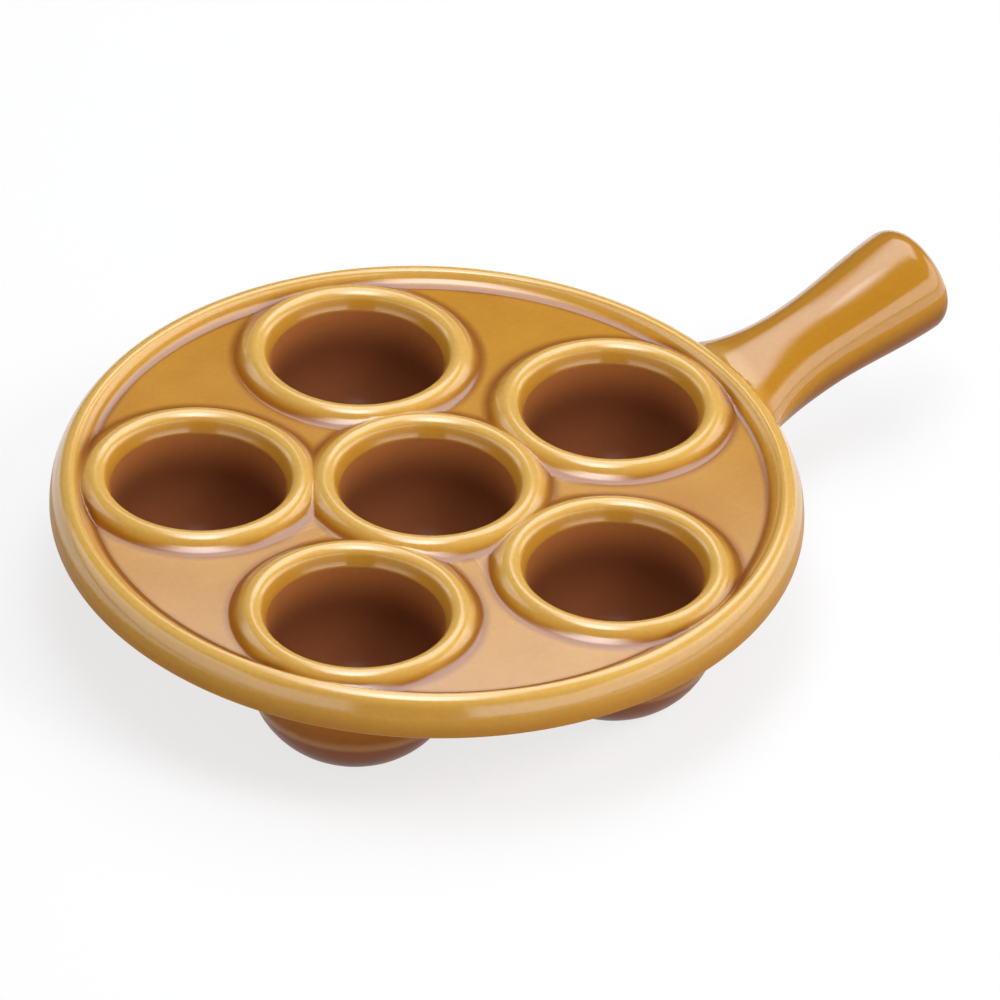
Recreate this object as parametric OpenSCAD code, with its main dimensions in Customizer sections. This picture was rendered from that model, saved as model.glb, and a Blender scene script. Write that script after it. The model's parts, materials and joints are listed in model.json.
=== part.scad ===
// Escargot plate in one piece of glazed stoneware: a round plate with a raised rim,
// six deep wells with rolled lips, whose rounded cups are its feet, and a stub handle.
// Millimetres. The table is the plane z = 0, the plate's axis is +Z, the handle points along +X.

/* [Plate] */
// Diameter over the rim
plate_d = 150; // [146:1:170]
// Height of the rim's crest above the table
rim_top = 30; // [28:0.1:34]
// Height of the rim, from its crest to the plate's flat underside
rim_h = 8.2; // [7.6:0.1:10]
// Distance from the rim's outer wall in to the line of its crest
crest_in = 3.9; // [3.4:0.1:4.4]
// Radius of the round just outside the crest
crest_round = 2.5; // [2:0.1:3]
// Radius of the rim's curved side, below that round
side_round = 9.5; // [8:0.1:11]
// Radius of the round just inside the crest
shoulder_round = 1; // [0.6:0.1:1.4]
// Depth of the field below the rim's crest
field_depth = 2.5; // [2.2:0.1:3]
// Radius of the fillet between the field and the rim
rim_fillet = 3.4; // [2.6:0.1:4]
// Radius of the lower outer edge
edge_round = 0.8; // [0.4:0.1:1.4]

/* [Wells] */
// Number of wells in the ring round the central one
ring_wells = 5; // [3:1:5]
// Distance from the plate's axis to the axis of each well in the ring
ring_r = 45.5; // [44:0.1:46.5]
// Diameter of a well at its throat, the lower edge of its funnel
mouth_d = 35; // [32:0.1:36]
// Depth of the throat below the lip's crest
throat_drop = 3.6; // [3:0.1:5]
// Distance from the throat out to the line of the lip's crest
lip_w = 3.1; // [2.6:0.1:3.6]
// Radius of the rolled lip round a well
lip_round = 2.3; // [2:0.1:2.6]
// Radius of the fillet between a lip and the field
lip_fillet = 4; // [2:0.1:4.2]
// How far the crest of a lip lies below the crest of the rim
lip_drop = 0; // [0:0.1:0.5]
// Slope of a well's inner wall from upright, in degrees
well_taper = 6; // [2:0.5:8]
// Radius of a well's rounded bottom
bowl_round = 14; // [11:0.5:14.5]
// Thickness of the floor below a well
floor_t = 4.4; // [3.5:0.1:6]

/* [Cups] */
// Outer diameter of a cup where it leaves the plate's underside
cup_d = 43.4; // [42:0.1:44.4]
// Slope of a cup's outer wall from upright, in degrees
cup_taper = 5.2; // [3:0.1:6]
// Radius of a cup's rounded lower half
cup_round = 17.8; // [15:0.1:18.5]
// Radius of the edge round a cup's flat foot
foot_round = 4; // [2:0.5:6]

/* [Handle] */
// Length of the handle along its axis, from the rim's outer wall to its end
handle_l = 52.4; // [40:0.1:70]
// Upward slope of the handle, in degrees
handle_rise = 15; // [8:0.1:18]
// Depth of the handle's axis below the rim's crest, at the rim's outer wall
handle_drop = 12.2; // [11.4:0.1:14]
// Diameter of the handle at its neck
neck_d = 19.2; // [17:0.1:21]
// Diameter of the handle at its end
grip_d = 22.7; // [21:0.1:26]
// Radius of the edge round the handle's end
end_round = 4.8; // [2:0.1:6]
// Rise of the domed end face
end_dome = 1.1; // [0.3:0.1:1.5]
// Width of the flared root, where it is widest under the rim
root_w = 55; // [46:0.5:56]
// Length of the root's flare beyond the rim's outer wall
root_l = 20; // [16:0.5:24]
// How far the root's widest line lies above the handle's axis
root_lift = 7; // [5:0.1:7.6]
// Height of the root above its widest line
root_top = 4.4; // [3.6:0.1:5]

/* [Hidden] */
$fn = 96;
glaze = [0.76, 0.53, 0.24];
arc_step = 9;
plate_r = plate_d / 2;
underside = rim_top - rim_h;
field_z = rim_top - field_depth;
lip_top = rim_top - lip_drop;
lip_r = mouth_d / 2 + lip_w;
lip_z = lip_top - lip_round;
throat_z = lip_top - throat_drop;
// The lip's fillet ends this far below the field, so that its edge crosses the field cleanly
fillet_sink = 0.04;
// Flat radius that is always left in the middle of a well's bottom: its rounding stops there
bottom_land = 0.2;
// Slope at which a cup's rounded lower half passes into the edge of its foot, in degrees
foot_turn = 54;
// The handle's root is widest this far inside the rim's outer wall
flare_in = 5;
// The handle's root reaches this far under the rim, into the wall of the first cup
root_in = 12;
// How much the root's lower half narrows to a keel: 0 leaves it elliptic
root_keel = 2;
// Points round each cross-section of the handle, and steps along its root's two flares and its grip
handle_sides = 40;
hidden_steps = 4;
flare_steps = 9;
grip_steps = 6;
// The domed end face has one ring, at this share of its radius, where this share of its rise is left
dome_ring = 0.55;
dome_left = 0.3;
// The handle swells from neck to end between these shares of its length
swell_from = 0.4;
swell_to = 0.9;

// Points on an arc about [cx, cy], from angle a to angle b in degrees
function arc(cx, cy, r, a, b) =
    let (n = max(1, ceil(abs(b - a) / arc_step)))
    [for (i = [0:n]) let (t = a + (b - a) * i / n) [cx + r * cos(t), cy + r * sin(t)]];

// Slope, in degrees, at which a rounded edge passes into its fillet when they drop by h in all
function blend_angle(convex_r, concave_r, h) = acos(1 - h / (convex_r + concave_r));

// The round slab with its raised rim. The rounds between the crest and the field are true circles
module slab() {
    crest_r = plate_r - crest_in;
    side_room = rim_h - edge_round - crest_round;
    full_side = (pow(side_room, 2) / (crest_in - crest_round) + crest_round + crest_in) / 2;
    side_r = min(side_round, full_side);
    side_turn = asin((side_r - crest_in) / (side_r - crest_round));
    side_z = rim_top - crest_round - (side_r - crest_round) * cos(side_turn);
    turn = blend_angle(shoulder_round, rim_fillet, field_depth);
    shoulder_z = rim_top - shoulder_round;
    fillet_r = crest_r - (shoulder_round + rim_fillet) * sin(turn);
    fillet_z = field_z + rim_fillet;
    rotate_extrude() {
        difference() {
            polygon(concat(
                [[0, underside]],
                arc(plate_r - edge_round, underside + edge_round, edge_round, -90, 0),
                arc(plate_r - side_r, side_z, side_r, 0, 90 - side_turn),
                arc(crest_r, rim_top - crest_round, crest_round, 90 - side_turn, 90),
                [[crest_r, shoulder_z], [fillet_r, fillet_z], [fillet_r, field_z], [0, field_z]]));
            translate([fillet_r, fillet_z])
                circle(rim_fillet);
        }
        translate([crest_r, shoulder_z])
            circle(shoulder_round);
    }
}

// One well's rolled lip on its fillet, solid inside. Both rounds are true circles in section
module lip() {
    turn = blend_angle(lip_round, lip_fillet, lip_top - field_z + fillet_sink);
    fillet_x = lip_r + (lip_round + lip_fillet) * sin(turn);
    fillet_z = lip_z + (lip_round + lip_fillet) * cos(turn);
    base_z = (underside + field_z) / 2;
    rotate_extrude() {
        difference() {
            polygon([[0, base_z], [fillet_x, base_z], [fillet_x, fillet_z],
                     [lip_r, lip_z], [lip_r, lip_top], [0, lip_top]]);
            translate([fillet_x, fillet_z])
                circle(lip_fillet);
        }
        translate([lip_r, lip_z])
            circle(lip_round);
    }
}

// One cup below the plate, solid inside, down to its flat foot
module cup() {
    centre_z = (cup_round - foot_round) * sin(foot_turn) + foot_round;
    start_z = centre_z - cup_round * sin(cup_taper);
    start_r = cup_d / 2 - (underside - start_z) * tan(cup_taper);
    centre_r = start_r - cup_round * cos(cup_taper);
    foot_r = centre_r + (cup_round - foot_round) * cos(foot_turn);
    top_r = cup_d / 2 + (field_z - underside) / 2 * tan(cup_taper);
    rotate_extrude()
        polygon(concat(
            [[0, 0]],
            arc(foot_r, foot_round, foot_round, -90, -foot_turn),
            arc(centre_r, centre_z, cup_round, -foot_turn, -cup_taper),
            [[top_r, (underside + field_z) / 2], [0, (underside + field_z) / 2]]));
}

// The hollow of one well: the lip's inner round, the funnel down to the throat, the wall and the bowl
module hollow() {
    throat_r = mouth_d / 2;
    funnel = atan2(lip_z - throat_z, lip_w) + asin(lip_round / norm([lip_w, lip_z - throat_z]));
    full_round = (throat_r - bottom_land - (throat_z - floor_t) * tan(well_taper))
        / (cos(well_taper) - (1 - sin(well_taper)) * tan(well_taper));
    bottom_r = min(bowl_round, full_round);
    centre_z = floor_t + bottom_r;
    start_z = centre_z - bottom_r * sin(well_taper);
    start_r = throat_r - (throat_z - start_z) * tan(well_taper);
    centre_r = start_r - bottom_r * cos(well_taper);
    rotate_extrude()
        polygon(concat(
            [[0, floor_t]],
            arc(centre_r, centre_z, bottom_r, -90, -well_taper),
            [[throat_r, throat_z]],
            arc(lip_r, lip_z, lip_round, 90 + funnel, 90),
            [[lip_r, lip_top + 1], [0, lip_top + 1]]));
}

// Radius of the handle at x along its axis, without the flare of its root
function grip_r(x) =
    let (u = min(1, max(0, (x / handle_l - swell_from) / (swell_to - swell_from))))
    neck_d / 2 + (grip_d - neck_d) / 2 * u * u * (3 - 2 * u);

// How far the root's flare has opened at x: 1 where it is widest, 0 at the neck and at its inner end
function flare(x) =
    let (u = x < -flare_in ? (root_in + x) / (root_in - flare_in) : (root_l - x) / (root_l + flare_in))
    1 - sqrt(1 - pow(min(1, max(0, u)), 2));

// One cross-section of the handle: an ellipse that flares into a wide top over a narrow keel
function section(x) =
    let (
        q = flare(x),
        r = grip_r(x),
        wide = r + (root_w - neck_d) / 2 * q,
        lift = root_lift * q,
        top = r + (root_top - r) * q)
    [for (k = [0:handle_sides - 1])
        let (t = 360 * k / handle_sides, s = sin(t))
        [x, wide * cos(t), s >= 0 ? lift + top * s : lift - (lift + r) * pow(-s, 1 + root_keel * q)]];

// A round cross-section of the handle's end
function end_section(x, r) =
    [for (k = [0:handle_sides - 1]) let (t = 360 * k / handle_sides) [x, r * cos(t), r * sin(t)]];

// The handle's cross-sections from its root to its end
function handle_sections() =
    let (
        hidden_l = root_in - flare_in,
        round_x = handle_l - end_dome - end_round,
        face_r = grip_d / 2 - end_round,
        end_arc = arc(round_x, face_r, end_round, 90, 0))
    concat(
        [for (i = [0:hidden_steps - 1]) section(-flare_in - hidden_l * cos(90 * i / hidden_steps))],
        [for (i = [0:flare_steps]) section(root_l - (root_l + flare_in) * cos(90 * i / flare_steps))],
        [for (i = [1:grip_steps]) section(root_l + (round_x - root_l) * i / grip_steps)],
        [for (i = [1:len(end_arc) - 1]) end_section(end_arc[i][0], end_arc[i][1])],
        [end_section(handle_l - end_dome * dome_left, face_r * dome_ring)]);

// A skin over cross-sections, closed by a flat start and a pointed end
module loft(sections, tip_x) {
    n = handle_sides;
    rings = len(sections);
    points = concat([for (s = sections) each s], [[tip_x, 0, 0]]);
    sides = [for (i = [0:rings - 2]) for (k = [0:n - 1])
        let (j = (k + 1) % n)
        each [
            [i * n + k, (i + 1) * n + k, (i + 1) * n + j],
            [i * n + k, (i + 1) * n + j, i * n + j]]];
    cap = [for (k = [0:n - 1]) [(rings - 1) * n + k, rings * n, (rings - 1) * n + (k + 1) % n]];
    polyhedron(points, concat([[for (k = [0:n - 1]) k]], sides, cap));
}

module handle() {
    translate([plate_r, 0, rim_top - handle_drop])
        rotate([0, -handle_rise, 0])
            loft(handle_sections(), handle_l);
}

// Places its child on the axis of every well
module at_wells() {
    children();
    for (i = [0:ring_wells - 1])
        rotate(360 * i / ring_wells)
            translate([ring_r, 0, 0])
                children();
}

module plate() {
    color(glaze)
        difference() {
            union() {
                slab();
                at_wells() lip();
                at_wells() cup();
                handle();
            }
            at_wells() hollow();
        }
}

plate();
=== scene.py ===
"""An escargot plate of glazed stoneware: the rim, wells, cups and handle are modelled as one piece.

Lengths are in millimetres up to the point where they reach Blender, which takes metres.
The plate stands on the plane z = 0, its axis is +Z and its handle points along +X.
"""

import json
import math

import bpy
from mathutils import Matrix, Vector

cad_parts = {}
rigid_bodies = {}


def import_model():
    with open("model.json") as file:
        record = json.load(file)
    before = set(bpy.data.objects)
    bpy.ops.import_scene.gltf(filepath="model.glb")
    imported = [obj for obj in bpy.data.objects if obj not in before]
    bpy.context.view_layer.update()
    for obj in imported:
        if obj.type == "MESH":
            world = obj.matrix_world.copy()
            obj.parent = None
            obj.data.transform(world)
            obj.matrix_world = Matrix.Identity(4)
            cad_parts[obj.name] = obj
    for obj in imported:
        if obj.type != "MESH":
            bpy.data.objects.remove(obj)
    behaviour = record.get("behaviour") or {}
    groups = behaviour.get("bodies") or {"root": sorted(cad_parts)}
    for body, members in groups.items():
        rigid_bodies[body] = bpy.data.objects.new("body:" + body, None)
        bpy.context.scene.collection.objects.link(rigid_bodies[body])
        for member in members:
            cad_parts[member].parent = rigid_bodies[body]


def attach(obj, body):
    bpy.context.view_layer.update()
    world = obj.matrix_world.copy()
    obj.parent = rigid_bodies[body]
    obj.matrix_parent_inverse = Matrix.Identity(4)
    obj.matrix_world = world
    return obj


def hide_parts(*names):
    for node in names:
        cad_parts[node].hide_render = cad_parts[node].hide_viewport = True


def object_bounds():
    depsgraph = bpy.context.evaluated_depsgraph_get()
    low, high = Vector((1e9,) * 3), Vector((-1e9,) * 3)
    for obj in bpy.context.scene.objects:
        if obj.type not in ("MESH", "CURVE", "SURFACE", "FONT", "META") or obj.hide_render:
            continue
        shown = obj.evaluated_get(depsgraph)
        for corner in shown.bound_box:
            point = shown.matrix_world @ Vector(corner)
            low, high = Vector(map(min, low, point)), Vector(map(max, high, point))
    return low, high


MM = 0.001

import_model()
cad_low, cad_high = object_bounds()

# Sizes of the plate
PLATE_R = -cad_low.x / MM
RIM_TOP = 30.0
RIM_H = 8.2
CREST_IN = 3.9
CREST_ROUND = 2.5
SIDE_ROUND = 9.5
SHOULDER_ROUND = 1.0
FIELD_DEPTH = 2.5
RIM_FILLET = 3.4
EDGE_ROUND = 0.8

# Sizes of the wells and of the cups below them
RING_WELLS = 5
RING_R = 45.5
THROAT_R = 17.5
THROAT_DROP = 3.6
THROAT_ROUND = 2.0
LIP_W = 3.1
LIP_ROUND = 2.3
LIP_FILLET = 4.0
WELL_TAPER = 6.0
BOWL_ROUND = 14.0
FLOOR_T = 4.4
CUP_R = 21.7
CUP_TAPER = 5.2
CUP_ROUND = 17.8
FOOT_ROUND = 4.0
FOOT_TURN = 54.0
CUP_FILLET = 1.6

# Sizes of the handle. Its flare is widest FLARE_IN inside the rim and ends ROOT_IN inside it.
HANDLE_L = 52.4
HANDLE_RISE = 15.0
HANDLE_DROP = 12.2
NECK_R = 9.6
GRIP_R = 11.35
END_ROUND = 4.8
END_DOME = 1.1
ROOT_HALF = 27.5
ROOT_L = 20.0
ROOT_LIFT = 7.0
ROOT_TOP = 4.4
ROOT_KEEL = 2.0
FLARE_IN = 5.0
ROOT_IN = 12.0
SWELL_FROM = 0.4
SWELL_TO = 0.9

# Derived heights and radii
UNDERSIDE = RIM_TOP - RIM_H
FIELD_Z = RIM_TOP - FIELD_DEPTH
CREST_R = PLATE_R - CREST_IN
LIP_R = THROAT_R + LIP_W
LIP_Z = RIM_TOP - LIP_ROUND
THROAT_Z = RIM_TOP - THROAT_DROP
HANDLE_Z = RIM_TOP - HANDLE_DROP

# How finely round forms are divided
PLATE_STEPS = 288
WELL_STEPS = 128
HANDLE_STEPS = 96
FLARE_STEPS = 24
GRIP_STEPS = 20
ARC_STEP = 9.0
# A fillet ends this far inside the flat face that it runs into
SINK = 0.03


def arc(centre_r, centre_z, radius, start, end, step=ARC_STEP):
    """Points on an arc of a profile, from start to end in degrees."""
    count = max(1, math.ceil(abs(end - start) / step))
    turns = [math.radians(start + (end - start) * i / count) for i in range(count + 1)]
    return [(centre_r + radius * math.cos(t), centre_z + radius * math.sin(t)) for t in turns]


def deselect_all():
    bpy.ops.object.select_all(action="DESELECT")


def only(piece):
    """Makes a piece the one that is selected and active."""
    deselect_all()
    piece.select_set(True)
    bpy.context.view_layer.objects.active = piece


def point_chain(points):
    """In a new object in edit mode, one vertex extruded through the points of a profile."""
    deselect_all()
    bpy.ops.mesh.primitive_plane_add(size=MM)
    bpy.ops.object.mode_set(mode="EDIT")
    bpy.ops.mesh.merge(type="CENTER")
    (r, z), *rest = points
    bpy.ops.transform.translate(value=(r * MM, 0, z * MM))
    for next_r, next_z in rest:
        step = ((next_r - r) * MM, 0, (next_z - z) * MM)
        bpy.ops.mesh.extrude_region_move(TRANSFORM_OT_translate={"value": step})
        r, z = next_r, next_z


def close_up():
    """Merges what a turned or extruded form has doubled and points its faces outwards."""
    bpy.ops.mesh.select_all(action="SELECT")
    bpy.ops.mesh.remove_doubles(threshold=0.002 * MM)
    bpy.ops.mesh.normals_make_consistent(inside=False)
    bpy.ops.object.mode_set(mode="OBJECT")


def turned(name, profile, steps):
    """A solid turned about the Z axis from the profile's points."""
    point_chain(profile)
    bpy.ops.mesh.select_all(action="SELECT")
    bpy.ops.mesh.spin(steps=steps, angle=math.tau, center=(0, 0, 0), axis=(0, 0, 1))
    close_up()
    bpy.context.object.name = name
    return bpy.context.object


def combine(piece, other, operation):
    """Joins the other solid to the piece, or cuts it out, and removes the other."""
    only(piece)
    modifier = piece.modifiers.new(operation.title(), "BOOLEAN")
    modifier.operation = operation
    modifier.object = other
    modifier.solver = "MANIFOLD"
    bpy.ops.object.modifier_apply(modifier=modifier.name)
    bpy.data.objects.remove(other)


def blend_angle(convex, concave, drop):
    """Slope at which a round passes into its fillet when the two drop that far in all."""
    return math.degrees(math.acos(1 - drop / (convex + concave)))


def slab():
    """The round slab with its raised rim."""
    side_turn = math.degrees(math.asin((SIDE_ROUND - CREST_IN) / (SIDE_ROUND - CREST_ROUND)))
    side_z = RIM_TOP - CREST_ROUND - (SIDE_ROUND - CREST_ROUND) * math.cos(math.radians(side_turn))
    turn = blend_angle(SHOULDER_ROUND, RIM_FILLET, FIELD_DEPTH)
    fillet_r = CREST_R - (SHOULDER_ROUND + RIM_FILLET) * math.sin(math.radians(turn))
    return turned("glazed_plate", [
        (0, UNDERSIDE),
        *arc(PLATE_R - EDGE_ROUND, UNDERSIDE + EDGE_ROUND, EDGE_ROUND, -90, 0, 18),
        *arc(PLATE_R - SIDE_ROUND, side_z, SIDE_ROUND, 0, 90 - side_turn, 4),
        *arc(CREST_R, RIM_TOP - CREST_ROUND, CREST_ROUND, 90 - side_turn, 90, 6)[1:],
        *arc(CREST_R, RIM_TOP - SHOULDER_ROUND, SHOULDER_ROUND, 90, 90 + turn, 12)[1:],
        *arc(fillet_r, FIELD_Z + RIM_FILLET, RIM_FILLET, turn - 90, -90, 7)[1:],
        (0, FIELD_Z),
    ], PLATE_STEPS)


def pot():
    """One well: its lip, its hollow and the cup below, as a solid of its own."""
    cup_centre_z = (CUP_ROUND - FOOT_ROUND) * math.sin(math.radians(FOOT_TURN)) + FOOT_ROUND
    cup_start_z = cup_centre_z - CUP_ROUND * math.sin(math.radians(CUP_TAPER))
    cup_slope = math.tan(math.radians(CUP_TAPER))
    cup_start_r = CUP_R - (UNDERSIDE - cup_start_z) * cup_slope
    cup_centre_r = cup_start_r - CUP_ROUND * math.cos(math.radians(CUP_TAPER))
    foot_r = cup_centre_r + (CUP_ROUND - FOOT_ROUND) * math.cos(math.radians(FOOT_TURN))
    cup_fillet_r = CUP_R + CUP_FILLET

    turn = blend_angle(LIP_ROUND, LIP_FILLET, FIELD_DEPTH + SINK)
    fillet_r = LIP_R + (LIP_ROUND + LIP_FILLET) * math.sin(math.radians(turn))
    fillet_z = LIP_Z + (LIP_ROUND + LIP_FILLET) * math.cos(math.radians(turn))

    # The funnel is the straight line from the throat's corner that just touches the lip's round
    corner = Vector((THROAT_R, THROAT_Z))
    to_lip = Vector((LIP_R, LIP_Z)) - corner
    funnel = math.degrees(math.atan2(to_lip.y, to_lip.x) + math.asin(LIP_ROUND / to_lip.length))
    steep = 90 - WELL_TAPER
    ease = THROAT_ROUND * math.tan(math.radians((steep - funnel) / 2))
    f = math.radians(funnel)
    along_funnel = Vector((math.cos(f), math.sin(f)))
    across_funnel = Vector((math.sin(f), -math.cos(f)))
    throat = corner + along_funnel * ease + across_funnel * THROAT_ROUND

    well_slope = math.tan(math.radians(WELL_TAPER))
    bowl_z = FLOOR_T + BOWL_ROUND
    wall_foot_z = bowl_z - BOWL_ROUND * math.sin(math.radians(WELL_TAPER))
    wall_foot_r = THROAT_R - (THROAT_Z - wall_foot_z) * well_slope
    bowl_r = wall_foot_r - BOWL_ROUND * math.cos(math.radians(WELL_TAPER))
    wall_z = [THROAT_Z - (THROAT_Z - wall_foot_z) * share for share in (0.25, 0.5, 0.75)]
    return turned("pot", [
        (0, 0),
        *arc(foot_r, FOOT_ROUND, FOOT_ROUND, -90, -FOOT_TURN, 12),
        *arc(cup_centre_r, cup_centre_z, CUP_ROUND, -FOOT_TURN, -CUP_TAPER, 6)[1:],
        *arc(cup_fillet_r, UNDERSIDE - CUP_FILLET + SINK, CUP_FILLET, 180 - CUP_TAPER, 90, 12),
        *arc(fillet_r, fillet_z, LIP_FILLET, -90, -90 - turn, 7),
        *arc(LIP_R, LIP_Z, LIP_ROUND, 90 - turn, 90 + funnel, 8)[1:],
        *arc(throat.x, throat.y, THROAT_ROUND, 90 + funnel, 90 + steep, 5),
        *[(wall_foot_r + (z - wall_foot_z) * well_slope, z) for z in wall_z],
        *arc(bowl_r, bowl_z, BOWL_ROUND, -WELL_TAPER, -90, 6),
        (0, FLOOR_T),
    ], WELL_STEPS)


def well_places():
    """The axis of every well: the middle one, then the ring from the handle's side on."""
    turns = [math.tau * i / RING_WELLS for i in range(RING_WELLS)]
    return [(0.0, 0.0)] + [(RING_R * math.cos(t), RING_R * math.sin(t)) for t in turns]


def moved_copy(piece, x, y):
    """A copy of a piece with a mesh of its own, moved in its mesh."""
    copy = piece.copy()
    copy.data = piece.data.copy()
    bpy.context.scene.collection.objects.link(copy)
    copy.data.transform(Matrix.Translation((x * MM, y * MM, 0)))
    return copy


def grip_radius(x):
    """The handle's radius at x along its axis, without the flare of its root."""
    u = min(1, max(0, (x / HANDLE_L - SWELL_FROM) / (SWELL_TO - SWELL_FROM)))
    return NECK_R + (GRIP_R - NECK_R) * u * u * (3 - 2 * u)


def flare(x):
    """How far the root's flare has opened: 1 where it is widest, 0 at the neck and at its inner end."""
    u = (ROOT_IN + x) / (ROOT_IN - FLARE_IN) if x < -FLARE_IN else (ROOT_L - x) / (ROOT_L + FLARE_IN)
    return 1 - math.sqrt(1 - min(1, max(0, u)) ** 2)


def handle_ring(x):
    """One cross-section of the handle: an ellipse that flares into a wide top over a narrow keel."""
    q = flare(x)
    r = grip_radius(x)
    wide = r + (ROOT_HALF - NECK_R) * q
    lift = ROOT_LIFT * q
    top = r + (ROOT_TOP - r) * q
    ring = []
    for k in range(HANDLE_STEPS):
        t = math.tau * k / HANDLE_STEPS
        s = math.sin(t)
        z = lift + top * s if s >= 0 else lift - (lift + r) * (-s) ** (1 + ROOT_KEEL * q)
        ring.append((x, wide * math.cos(t), z))
    return ring


def round_ring(x, r):
    """A round cross-section of the handle's end."""
    turns = [math.tau * k / HANDLE_STEPS for k in range(HANDLE_STEPS)]
    return [(x, r * math.cos(t), r * math.sin(t)) for t in turns]


def handle_rings():
    """The handle's cross-sections from its root to its end."""
    round_x = HANDLE_L - END_DOME - END_ROUND
    face_r = GRIP_R - END_ROUND
    quarter = [math.pi / 2 * i / FLARE_STEPS for i in range(FLARE_STEPS + 1)]
    rings = [handle_ring(-FLARE_IN - (ROOT_IN - FLARE_IN) * math.cos(q)) for q in quarter[0:FLARE_STEPS:4]]
    rings += [handle_ring(ROOT_L - (ROOT_L + FLARE_IN) * math.cos(q)) for q in quarter]
    grip_l = round_x - ROOT_L
    rings += [handle_ring(ROOT_L + grip_l * i / GRIP_STEPS) for i in range(1, GRIP_STEPS + 1)]
    rings += [round_ring(x, r) for x, r in arc(round_x, face_r, END_ROUND, 90, 0, 6)[1:]]
    rings += [round_ring(HANDLE_L - END_DOME * share ** 2, face_r * share) for share in (0.8, 0.6, 0.4, 0.2)]
    return rings


def handle():
    """The stub handle, skinned over its cross-sections and closed at both ends."""
    rings = handle_rings()
    points = [Vector(point) * MM for ring in rings for point in ring]
    n = HANDLE_STEPS
    faces = [tuple(range(n))[::-1], tuple(range(len(points) - n, len(points)))]
    for i in range(len(rings) - 1):
        for k in range(n):
            j = (k + 1) % n
            faces.append((i * n + k, i * n + j, (i + 1) * n + j, (i + 1) * n + k))
    mesh = bpy.data.meshes.new("handle")
    mesh.from_pydata(points, [], faces)
    piece = bpy.data.objects.new("handle", mesh)
    bpy.context.scene.collection.objects.link(piece)
    tilt = Matrix.Rotation(-math.radians(HANDLE_RISE), 4, "Y")
    mesh.transform(Matrix.Translation((PLATE_R * MM, 0, HANDLE_Z * MM)) @ tilt)
    only(piece)
    bpy.ops.object.mode_set(mode="EDIT")
    close_up()
    return piece


def hole():
    """A plain plug that opens the slab inside one well's wall."""
    radius = (THROAT_R + CUP_R) / 2
    deselect_all()
    bpy.ops.mesh.primitive_cylinder_add(
        vertices=WELL_STEPS, radius=radius * MM, depth=2 * RIM_TOP * MM, location=(0, 0, RIM_TOP * MM))
    bpy.ops.object.transform_apply(location=True)
    return bpy.context.object


def soften_seams():
    """Rounds the sharp seams where lips meet each other and the handle meets the rim."""
    bpy.ops.object.mode_set(mode="EDIT")
    bpy.ops.mesh.select_mode(type="EDGE")
    bpy.ops.mesh.select_all(action="DESELECT")
    bpy.ops.mesh.edges_select_sharp(sharpness=math.radians(24))
    bpy.ops.mesh.select_more()
    bpy.ops.mesh.vertices_smooth(factor=0.5, repeat=6)
    bpy.ops.mesh.select_mode(type="VERT")
    bpy.ops.object.mode_set(mode="OBJECT")


def glazed_plate():
    """The whole plate as one closed piece."""
    plate = slab()
    grip = handle()
    combine(plate, grip, "UNION")
    plug, well = hole(), pot()
    for x, y in well_places():
        combine(plate, moved_copy(plug, x, y), "DIFFERENCE")
    for x, y in well_places():
        combine(plate, moved_copy(well, x, y), "UNION")
    bpy.data.objects.remove(plug)
    bpy.data.objects.remove(well)
    only(plate)
    soften_seams()
    bpy.ops.object.shade_smooth()
    weighted = plate.modifiers.new("Weighted", "WEIGHTED_NORMAL")
    weighted.weight = 80
    bpy.ops.object.modifier_apply(modifier=weighted.name)
    return plate


def srgb(r, g, b):
    """A colour read as 0 to 255 on screen, in linear light."""
    def linear(c):
        c = c / 255
        return c / 12.92 if c <= 0.04045 else ((c + 0.055) / 1.055) ** 2.4
    return (linear(r), linear(g), linear(b), 1.0)


# Colours of the glaze, and of the painted shade in the wells, on the cups, low on the rim's side and under
# the handle
AMBER = srgb(202, 144, 44)
AMBER_CLOUD = srgb(192, 132, 40)
THIN_CREST = srgb(224, 176, 88)
LIP_POOL = srgb(138, 70, 12)
RIM_POOL = srgb(132, 66, 12)
FUNNEL_AMBER = srgb(192, 134, 44)
THROAT_BROWN = srgb(176, 108, 58)
# Painted shade deep in the wells, darker than the brown of their thick glaze
DEEP_WELL_PAINTED_SHADE = srgb(128, 74, 44)
# Painted shade on the cups under the plate, darkest at their feet
CUP_TOP_PAINTED_SHADE = srgb(158, 96, 32)
CUP_FOOT_PAINTED_SHADE = srgb(116, 64, 22)
SIDE_TOP = srgb(200, 150, 66)
# Painted shade low on the rim's outer side
SIDE_FOOT_PAINTED_SHADE = srgb(164, 112, 44)
HANDLE_AMBER = srgb(186, 128, 36)
# Painted shade under the handle
HANDLE_PAINTED_SHADE = srgb(132, 78, 28)

# Where the glaze pools: how far outside a lip's crest and inside the rim's crest the pools lie, half
# their widths, and how strongly they cover the amber
LIP_POOL_OUT = 4.0
LIP_POOL_HALF = 2.2
RIM_POOL_IN = 3.4
RIM_POOL_HALF = 1.4
POOL_COVER = 0.8
# How many patches of lighter and darker amber, and how many specks, there are in a metre
CLOUD_SCALE = 45.0
MOTTLE_SCALE = 900.0


class Wire:
    """A shader socket that takes part in Python expressions."""

    def __init__(self, nodes, socket):
        self.nodes = nodes
        self.socket = socket

    def math(self, operation, *others):
        return self.nodes.add("ShaderNodeMath", {"operation": operation}, self, *others)

    def __add__(self, other):
        return self.math("ADD", other)

    def __sub__(self, other):
        return self.math("SUBTRACT", other)

    def __mul__(self, other):
        return self.math("MULTIPLY", other)

    def __rsub__(self, other):
        return (self * -1) + other

    __radd__ = __add__
    __rmul__ = __mul__


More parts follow.
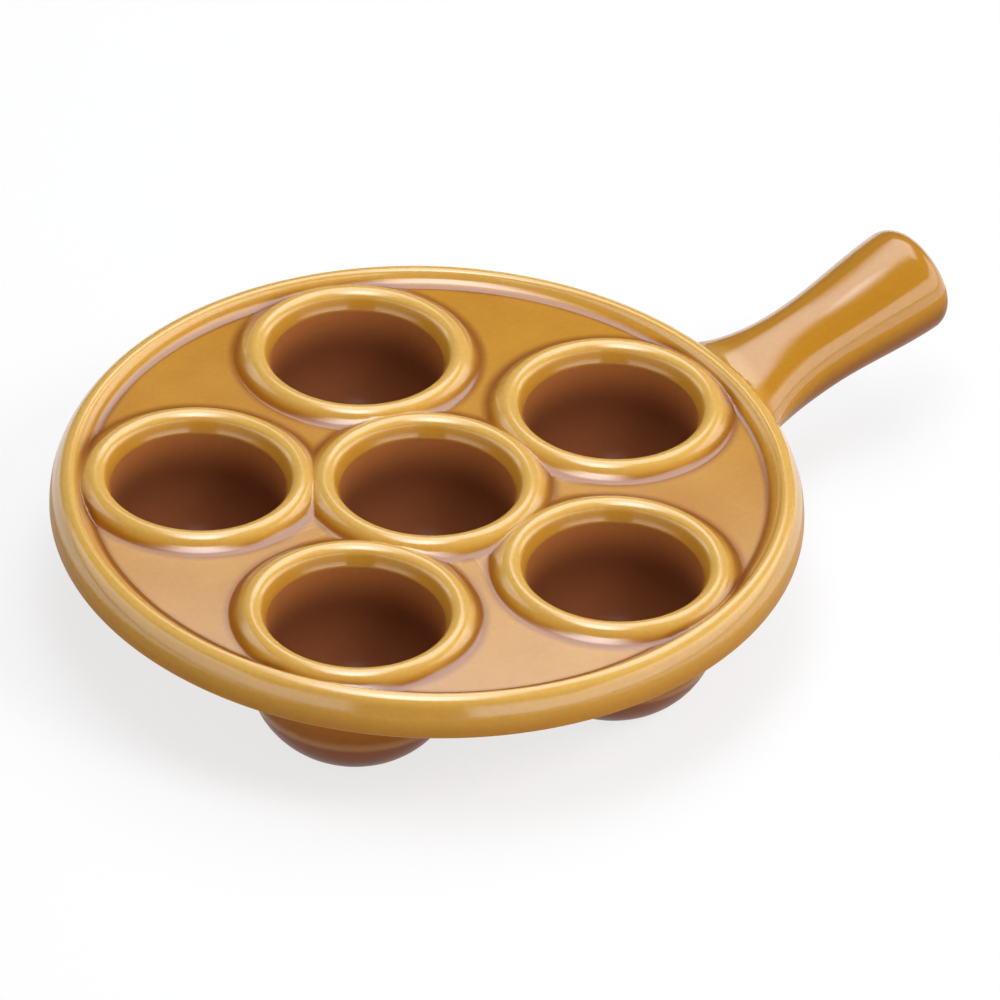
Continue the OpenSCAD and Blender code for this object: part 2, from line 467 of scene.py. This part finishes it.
class Nodes:
    """Adds nodes to the tree of a material or of the world."""

    def __init__(self, owner):
        owner.use_nodes = True
        self.owner = owner
        self.tree = owner.node_tree

    def add(self, kind, settings, *inputs, output=0, **named):
        """A node with its settings first, then the values or links of its sockets. None skips one."""
        node = self.tree.nodes.new(kind)
        for key, value in settings.items():
            setattr(node, key, value)
        for key, value in [*enumerate(inputs), *named.items()]:
            if isinstance(key, str):
                key = key.replace("_", " ")
            self.feed(node.inputs[key], value)
        return Wire(self, node.outputs[output])

    def feed(self, socket, value):
        if isinstance(value, Wire):
            self.tree.links.new(value.socket, socket)
        elif value is not None:
            socket.default_value = value

    def mix(self, a, b, factor):
        """One colour laid over another where the factor is 1."""
        other_kinds = [None] * 5
        return self.add("ShaderNodeMix", {"data_type": "RGBA", "clamp_factor": True},
                        factor, *other_kinds, a, b, output=2)

    def split(self, vector, scale):
        """The three parts of a vector, each times a scale."""
        parts = self.add("ShaderNodeSeparateXYZ", {}, vector).socket.node.outputs
        return [Wire(self, part) * scale for part in parts]

    def along(self, vector, axis):
        """How far a vector reaches along an axis."""
        return self.add("ShaderNodeVectorMath", {"operation": "DOT_PRODUCT"}, vector, tuple(axis), output=1)

    def rise(self, value, start, end):
        """0 below start, 1 above end and a smooth step between them. It may also fall."""
        return self.add("ShaderNodeMapRange", {"interpolation_type": "SMOOTHSTEP"},
                        value, start, end, 0.0, 1.0)

    def band(self, value, centre, half):
        """1 where the value is at the centre, falling smoothly to 0 at half to either side."""
        return self.rise((value - centre).math("ABSOLUTE"), half, 0.0)

    def noise(self, place, scale, detail=2.0, roughness=0.5):
        """Noise from 0 to 1."""
        return self.add("ShaderNodeTexNoise", {}, Vector=place, Scale=scale,
                        Detail=detail, Roughness=roughness)


def glaze():
    """Amber glaze: pale where it is thin on crests, dark where it pools in grooves and wells, with painted
    shade deeper down the wells, on the cups, low on the rim's side and under the handle.
    """
    n = Nodes(bpy.data.materials.new("amber_glaze"))
    shader = n.tree.nodes["Principled BSDF"]
    place = n.add("ShaderNodeTexCoord", {}, output=3)
    x, y, z = n.split(place, 1 / MM)
    r = (x * x + y * y).math("SQRT")
    well = None
    for cx, cy in well_places():
        dx, dy = x - cx, y - cy
        away = (dx * dx + dy * dy).math("SQRT")
        well = away if well is None else well.math("MINIMUM", away)

    cloud = n.noise(place, CLOUD_SCALE, 3.0)
    mottle = n.noise(place, MOTTLE_SCALE, 3.0, 0.6)
    drift = (cloud - 0.5) * 1.2
    well_soft = well + drift
    r_soft = r + drift
    on_plate = n.rise(r, PLATE_R + 4.0, PLATE_R + 0.5)

    amber = n.mix(AMBER, AMBER_CLOUD, n.rise(cloud, 0.3, 0.7))
    crest = n.rise(z, RIM_TOP - 2.3, RIM_TOP - 0.3) * on_plate
    colour = n.mix(amber, THIN_CREST, crest)

    groove = n.rise(z, RIM_TOP - 0.9, RIM_TOP - 2.2) * n.rise(z, FIELD_Z - 1.0, FIELD_Z - 0.1)
    lip_pool = n.band(well_soft, LIP_R + LIP_POOL_OUT, LIP_POOL_HALF) * groove
    rim_pool = n.band(r_soft, CREST_R - RIM_POOL_IN, RIM_POOL_HALF) * groove
    colour = n.mix(colour, LIP_POOL, lip_pool * POOL_COVER)
    colour = n.mix(colour, RIM_POOL, rim_pool * POOL_COVER)

    inside = n.rise(well, LIP_R + 0.2, LIP_R - 0.8)
    funnel = inside * n.rise(z, RIM_TOP - 0.6, RIM_TOP - 2.4)
    colour = n.mix(colour, FUNNEL_AMBER, funnel)
    wall = inside * n.rise(z, THROAT_Z + 0.25, THROAT_Z - 0.45)
    # The wells' walls: browner where the glaze lies thick, and darker further down as painted shade
    well_glaze_and_painted_shade = n.mix(THROAT_BROWN, DEEP_WELL_PAINTED_SHADE, n.rise(z, THROAT_Z, THROAT_Z - 9.0))
    colour = n.mix(colour, well_glaze_and_painted_shade, wall)

    # Painted shade on the cups under the plate, deepening towards their feet
    below = n.rise(z, UNDERSIDE + 0.4, UNDERSIDE - 1.6) * (1 - wall) * on_plate
    cup_painted_shade = n.mix(CUP_TOP_PAINTED_SHADE, CUP_FOOT_PAINTED_SHADE, n.rise(z, UNDERSIDE, 3.0))
    colour = n.mix(colour, cup_painted_shade, below)
    # The rim's outer side darkens towards its foot: painted shade
    rim_side = n.rise(r, CREST_R + 1.4, PLATE_R - 0.1) * on_plate
    side_painted_shade_gradient = n.mix(SIDE_TOP, SIDE_FOOT_PAINTED_SHADE, n.rise(z, RIM_TOP - 2.0, UNDERSIDE + 0.5))
    colour = n.mix(colour, side_painted_shade_gradient, rim_side * 0.85)

    handle_axis = (x - PLATE_R) * math.tan(math.radians(HANDLE_RISE)) + HANDLE_Z
    above_axis = z - handle_axis
    colour = n.mix(colour, HANDLE_AMBER, (1 - on_plate) * 0.9)
    # Painted shade on the handle's underside
    painted_underside_shade = n.rise(above_axis, 2.4, -4.0) * (1 - on_plate)
    colour = n.mix(colour, HANDLE_PAINTED_SHADE, painted_underside_shade)

    shade = n.add("ShaderNodeMapRange", {}, mottle, 0.3, 0.7, 0.96, 1.04)
    tone = n.add("ShaderNodeVectorMath", {"operation": "SCALE"}, colour, Scale=shade)
    n.feed(shader.inputs["Base Color"], tone)

    # The coat, which mirrors the room, fades in the wells, low on the sides and in the throats
    low_handle = n.rise(above_axis, 2.4, 1.6) * (1 - on_plate)
    low_side = n.rise(z, RIM_TOP - 3.1, RIM_TOP - 4.1) * on_plate * (1 - inside)
    throat_top = inside * n.rise(z, RIM_TOP - 3.1, RIM_TOP - 2.3) * n.rise(z, RIM_TOP - 0.9, RIM_TOP - 1.5)
    gloss = (1 - 0.97 * wall) * (1 - 0.97 * low_side) * (1 - 0.95 * low_handle) * (1 - 0.85 * throat_top)
    n.feed(shader.inputs["Roughness"], n.add("ShaderNodeMapRange", {}, cloud, 0.2, 0.8, 0.25, 0.35))
    n.feed(shader.inputs["Coat Weight"], gloss)
    shader.inputs["IOR"].default_value = 1.12
    shader.inputs["Coat IOR"].default_value = 1.92
    shader.inputs["Coat Roughness"].default_value = 0.13
    return n.owner


def picture_direction(turn, elevation):
    """A direction from the plate: turn 0 is towards the camera, 90 to the picture's right."""
    a, t, e = (math.radians(v) for v in (VIEW_AZIMUTH, turn, elevation))
    flat = Vector((math.sin(a), -math.cos(a), 0)) * math.cos(t)
    flat += Vector((math.cos(a), math.sin(a), 0)) * math.sin(t)
    return flat * math.cos(e) + Vector((0, 0, math.sin(e)))


# The room: where its pale walls begin and end, measured round from the camera to the left (below 0)
# and to the right, how high they reach (all in radians) and how bright they are, where 1 is white
LEFT_WALL = (math.radians(-19), math.radians(-128))
RIGHT_WALL = (math.radians(14), math.radians(134))
WALL_TOP = math.radians(28)
LEFT_LEVEL = 1.15
RIGHT_LEVEL = 1.5
# The room's dim light and that of its front above the walls
ROOM_SHADE = (0.08, 0.08, 0.08, 1)
ROOM_FRONT = (0.5, 0.5, 0.51, 1)

# The softbox over the plate: its height above the rim and its size in metres, how bright its middle
# and its rear part are, and its tint
BOX_HEIGHT = 0.45
BOX_SIZE = 1.5
MIDDLE_LEVEL = 5.6
REAR_LEVEL = 2.3
BOX_TINT = (0.94, 0.96, 1.02)
# Where its light comes up from dark to full, in box heights: to the left, then behind, before and to
# the right of its middle part and of its rear part
LEFT_FADE = (-0.48, -0.06)
MIDDLE_BEHIND = (0.34, 0.06)
MIDDLE_BEFORE = (-0.65, -0.4)
MIDDLE_RIGHT = (0.34, 0.0)
REAR_BEHIND = (1.44, 1.12)
REAR_BEFORE = (-0.05, 0.3)
REAR_RIGHT = (0.9, 0.5)

# The side lamp: its turn and elevation from the plate in degrees, its distance and size in metres, and
# its power in watts
SIDE_TURN = 62
SIDE_ELEVATION = 46
SIDE_DISTANCE = 1.2
SIDE_SIZE = 0.4
SIDE_POWER = 5.4

# The camera, as it was worked out from the picture of 1000 by 1000 pixels
PICTURE = 1000
VIEW_AZIMUTH = -37.35
VIEW_ELEVATION = 36.40
VIEW_DISTANCE = 2.249
VIEW_ROLL = -2.04
FOCAL_PIXELS = 11343
PLATE_PIXEL = (428.1, 475.6)
SENSOR = 36.0


def camera():
    """The camera, turned so that the middle of the wells' lips falls on its pixel."""
    data = bpy.data.cameras.new("camera")
    data.sensor_width = SENSOR
    data.lens = FOCAL_PIXELS * SENSOR / PICTURE
    data.clip_end = 20
    eye = bpy.data.objects.new("camera", data)
    bpy.context.scene.collection.objects.link(eye)
    middle = Vector((0, 0, RIM_TOP * MM))
    back = picture_direction(0, VIEW_ELEVATION)
    right = Vector((0, 0, 1)).cross(back).normalized()
    up = back.cross(right)
    roll = math.radians(VIEW_ROLL)
    rolled_right = right * math.cos(roll) - up * math.sin(roll)
    rolled_up = right * math.sin(roll) + up * math.cos(roll)
    axes = Matrix((rolled_right, rolled_up, back)).transposed()
    px, py = PLATE_PIXEL
    seen = Vector((px - PICTURE / 2, PICTURE / 2 - py, -FOCAL_PIXELS)).normalized()
    swing = Vector((0, 0, -1)).rotation_difference(seen)
    eye.rotation_mode = "QUATERNION"
    eye.rotation_quaternion = axes.to_quaternion() @ swing.inverted()
    eye.location = middle + back * VIEW_DISTANCE
    bpy.context.scene.camera = eye


def floor():
    """A wide white floor that takes the plate's shadow, softened where it is seen."""
    deselect_all()
    bpy.ops.mesh.primitive_plane_add(size=12)
    piece = bpy.context.object
    piece.name = "floor"
    n = Nodes(bpy.data.materials.new("white_floor"))
    shader = n.tree.nodes["Principled BSDF"]
    shader.inputs["Base Color"].default_value = (0.95, 0.95, 0.95, 1)
    shader.inputs["Roughness"].default_value = 0.9
    shader.inputs["Specular IOR Level"].default_value = 0.0
    white = n.add("ShaderNodeEmission", {}, Strength=1.0)
    camera_ray, glossy_ray, transmission_ray = [
        n.add("ShaderNodeLightPath", {}, output=name)
        for name in ("Is Camera Ray", "Is Glossy Ray", "Is Transmission Ray")]
    seen = camera_ray + glossy_ray + transmission_ray
    surface = n.add("ShaderNodeMixShader", {}, seen * 0.75, Wire(n, shader.outputs[0]), white)
    n.feed(n.tree.nodes["Material Output"].inputs["Surface"], surface)
    piece.data.materials.append(n.owner)


def softbox():
    """A wide soft light over the plate, brightest above it and dim in its rear part.

    It casts no shadow, so that the side lamp and the room shine past it.
    """
    deselect_all()
    bpy.ops.mesh.primitive_plane_add(size=BOX_SIZE)
    piece = bpy.context.object
    piece.name = "softbox"
    piece.rotation_euler.z = math.radians(VIEW_AZIMUTH)
    piece.location.z = RIM_TOP * MM + BOX_HEIGHT
    piece.visible_camera = False
    piece.visible_shadow = False
    n = Nodes(bpy.data.materials.new("softbox"))
    place = n.add("ShaderNodeTexCoord", {}, output=3)
    aside, behind, _ = n.split(place, 1 / BOX_HEIGHT)
    middle = n.rise(behind, *MIDDLE_BEHIND) * n.rise(behind, *MIDDLE_BEFORE) * n.rise(aside, *MIDDLE_RIGHT)
    rear = n.rise(behind, *REAR_BEHIND) * n.rise(behind, *REAR_BEFORE) * n.rise(aside, *REAR_RIGHT)
    level = n.rise(aside, *LEFT_FADE) * (middle * MIDDLE_LEVEL).math("MAXIMUM", rear * REAR_LEVEL)
    colour = n.add("ShaderNodeVectorMath", {"operation": "SCALE"}, BOX_TINT, Scale=level)
    light = n.add("ShaderNodeEmission", {}, colour, 1.0)
    n.tree.nodes.remove(n.tree.nodes["Principled BSDF"])
    n.feed(n.tree.nodes["Material Output"].inputs["Surface"], light)
    piece.data.materials.append(n.owner)


def side_lamp():
    """A soft lamp to the right of the camera that reaches down into the wells, without a reflection."""
    data = bpy.data.lights.new("side_lamp", "AREA")
    data.size = SIDE_SIZE
    data.energy = SIDE_POWER
    lamp = bpy.data.objects.new("side_lamp", data)
    bpy.context.scene.collection.objects.link(lamp)
    way = picture_direction(SIDE_TURN, SIDE_ELEVATION)
    lamp.location = way * SIDE_DISTANCE
    lamp.rotation_mode = "QUATERNION"
    lamp.rotation_quaternion = way.to_track_quat("Z", "Y")
    lamp.visible_glossy = False


def studio():
    """The room round the plate: a pale wall on either side, the brighter one at the right."""
    n = Nodes(bpy.data.worlds.new("studio"))
    direction = n.add("ShaderNodeTexCoord", {}, output=0)
    toward = n.along(direction, picture_direction(0, 0))
    aside = n.along(direction, picture_direction(90, 0))
    up = n.along(direction, Vector((0, 0, 1)))
    level = (toward * toward + aside * aside).math("SQRT")
    turn = aside.math("ARCTAN2", toward)
    rise = up.math("ARCTAN2", level)
    height = n.rise(rise, WALL_TOP + 0.1, WALL_TOP - 0.1) * n.rise(rise, 0.02, 0.05)

    def wall(start, end):
        way = math.copysign(1.0, end)
        opening = n.rise(turn, start - 0.02 * way, start + 0.02 * way)
        return opening * n.rise(turn, end + 0.15 * way, end - 0.15 * way) * height

    front = n.rise(toward, 0.3, 0.6) * n.rise(rise, WALL_TOP, WALL_TOP + 0.3)
    colour = n.mix(ROOM_SHADE, ROOM_FRONT, front)
    colour = n.mix(colour, (LEFT_LEVEL, LEFT_LEVEL, LEFT_LEVEL, 1), wall(*LEFT_WALL))
    colour = n.mix(colour, (RIGHT_LEVEL, RIGHT_LEVEL, RIGHT_LEVEL, 1), wall(*RIGHT_WALL))
    n.feed(n.tree.nodes["Background"].inputs["Color"], colour)
    bpy.context.scene.world = n.owner
    bpy.context.scene.view_settings.view_transform = "Standard"


plate = glazed_plate()
plate.data.materials.clear()
plate.data.materials.append(glaze())
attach(plate, "root")
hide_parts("plate")
floor()
softbox()
side_lamp()
studio()
camera()
